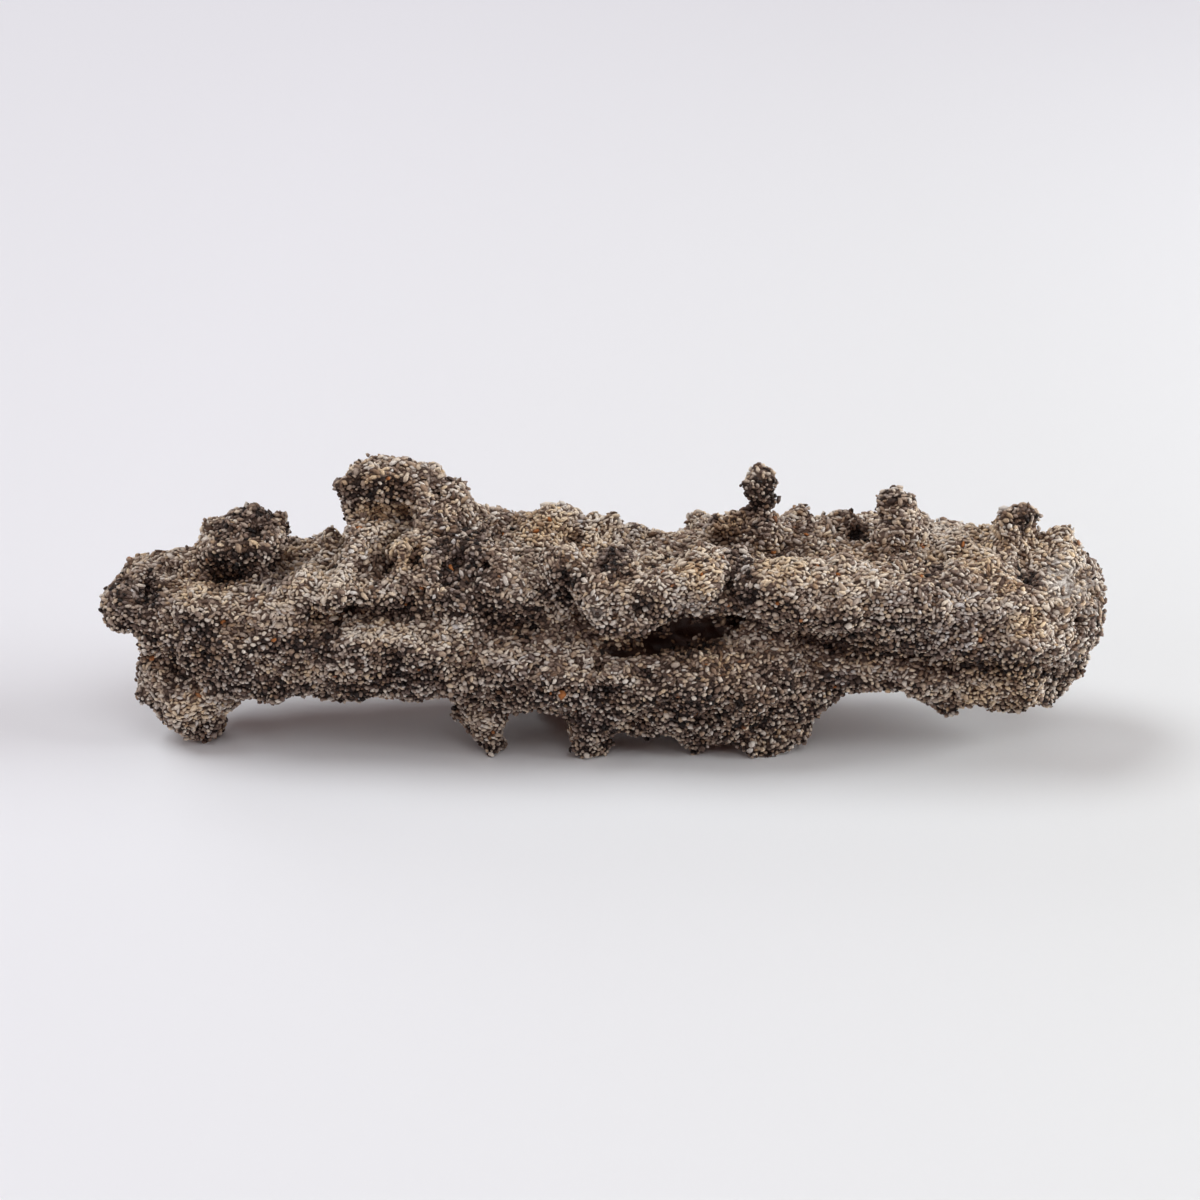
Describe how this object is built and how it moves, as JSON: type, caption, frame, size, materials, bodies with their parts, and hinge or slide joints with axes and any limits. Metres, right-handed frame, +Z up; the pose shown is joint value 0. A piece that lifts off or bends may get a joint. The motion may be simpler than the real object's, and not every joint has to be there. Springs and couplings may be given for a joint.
{
  "type": "fulgurite",
  "caption": "Short knobbly length of sand fused by lightning, lying along its side on low nubs, with knobs and a thin stalk on top and a small blind hollow in one broken end.",
  "frame": {"origin": "centre of the bounding box in plan, on the plane of the feet it rests on", "axes": "+X along the length, towards the broken end with the hollow; -Y the front with the long slot; +Z up, away from the surface it lies on"},
  "size_m": [0.052, 0.0114, 0.0156],
  "materials": {
    "fused_sand": "matt sand grains in dark glassy melt"
  },
  "bodies": {
    "root": {"fulgurite": "fused_sand"}
  },
  "joints": []
}
